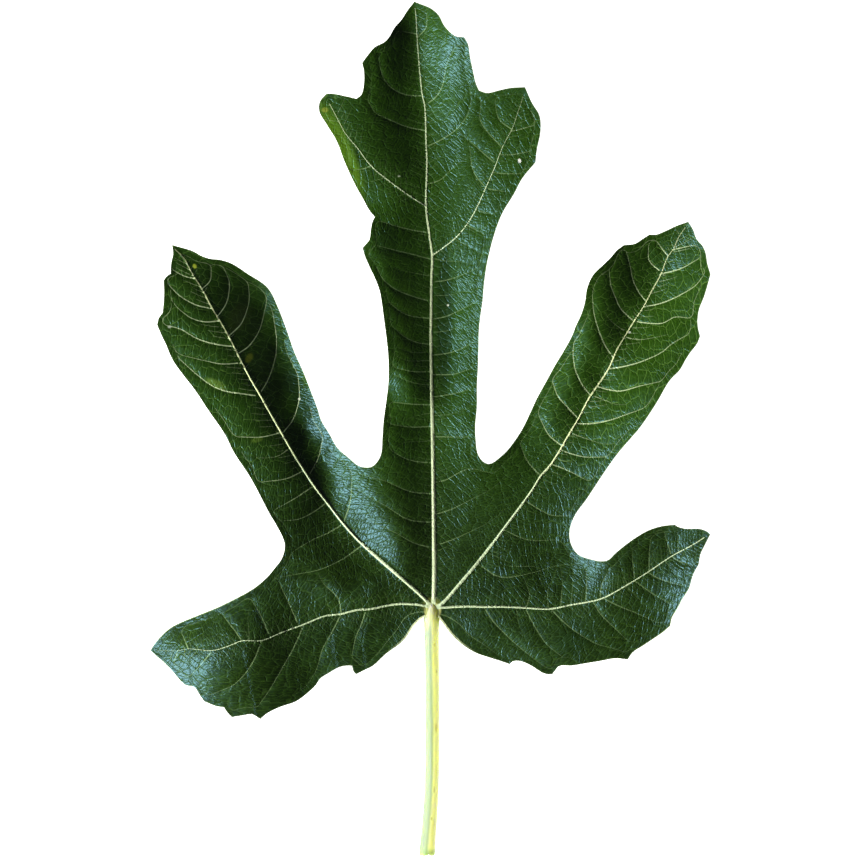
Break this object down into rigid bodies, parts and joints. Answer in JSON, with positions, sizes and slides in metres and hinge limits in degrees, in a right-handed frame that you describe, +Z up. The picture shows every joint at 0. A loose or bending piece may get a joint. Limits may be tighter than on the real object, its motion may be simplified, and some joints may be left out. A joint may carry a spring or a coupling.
{
  "type": "fig leaf",
  "caption": "Deeply lobed green leaf with toothed margins, raised ribs and a net of veins, and a long round pale stalk, lying face up.",
  "frame": {"origin": "on the surface that the leaf lies on, at the small flat spot under the hub, where the ribs meet the stalk", "axes": "+Y along the middle lobe towards its tip, the stalk lying along -Y; +Z up, out of the glossy upper face; +X to the right as seen from above"},
  "size_m": [0.1869, 0.2863, 0.0117],
  "materials": {
    "leaf_green": "satin",
    "stalk_pale": "satin"
  },
  "bodies": {
    "root": {"blade": "leaf_green", "petiole": "stalk_pale"}
  },
  "joints": []
}
